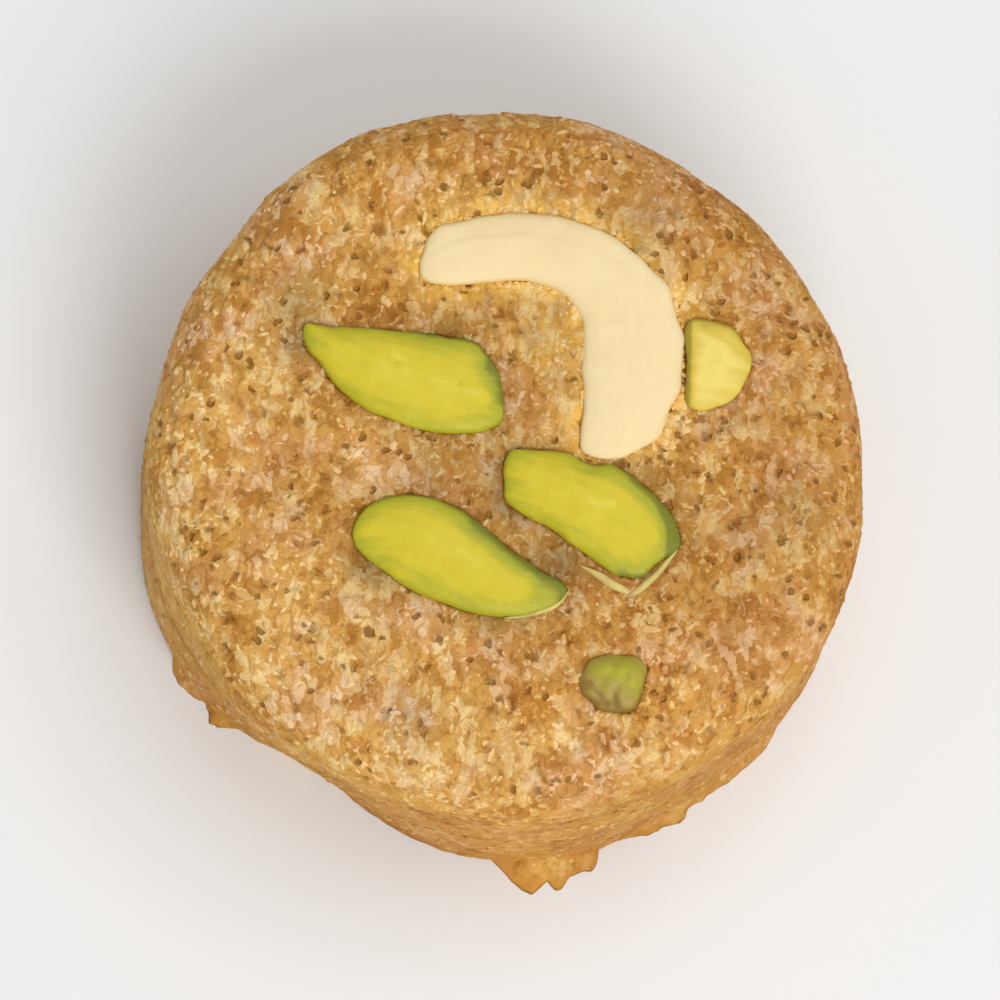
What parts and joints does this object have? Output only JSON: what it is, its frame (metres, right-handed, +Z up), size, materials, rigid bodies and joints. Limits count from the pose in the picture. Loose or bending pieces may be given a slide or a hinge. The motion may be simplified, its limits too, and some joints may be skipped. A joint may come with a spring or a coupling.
{
  "type": "round pressed sesame sweet with nuts",
  "caption": "Thick round cake of pressed sesame and jaggery crumb with half a cashew and pistachio halves set flush in its top.",
  "frame": {"origin": "middle of the flat foot that the sweet rests on", "axes": "+Z up through the thickness, -Y towards the front edge with the pressed-out flakes, +X to the right seen from the front"},
  "size_m": [0.0536, 0.0566, 0.0219],
  "materials": {
    "crumb": "matte tan and brown crumb of ground sesame and jaggery with paler grains",
    "cashew": "smooth satin cream cashew",
    "pistachio": "smooth satin yellow-green kernel with greener edges",
    "pistachio_pale": "smooth satin pale yellow-green kernel",
    "pistachio_dull": "dull green kernel with a little dark skin"
  },
  "bodies": {
    "root": {"body": "crumb", "cashew_half": "cashew", "pistachio_left": "pistachio", "pistachio_right": "pistachio", "pistachio_lower": "pistachio", "pistachio_end": "pistachio_pale", "pistachio_nub": "pistachio_dull"}
  },
  "joints": []
}
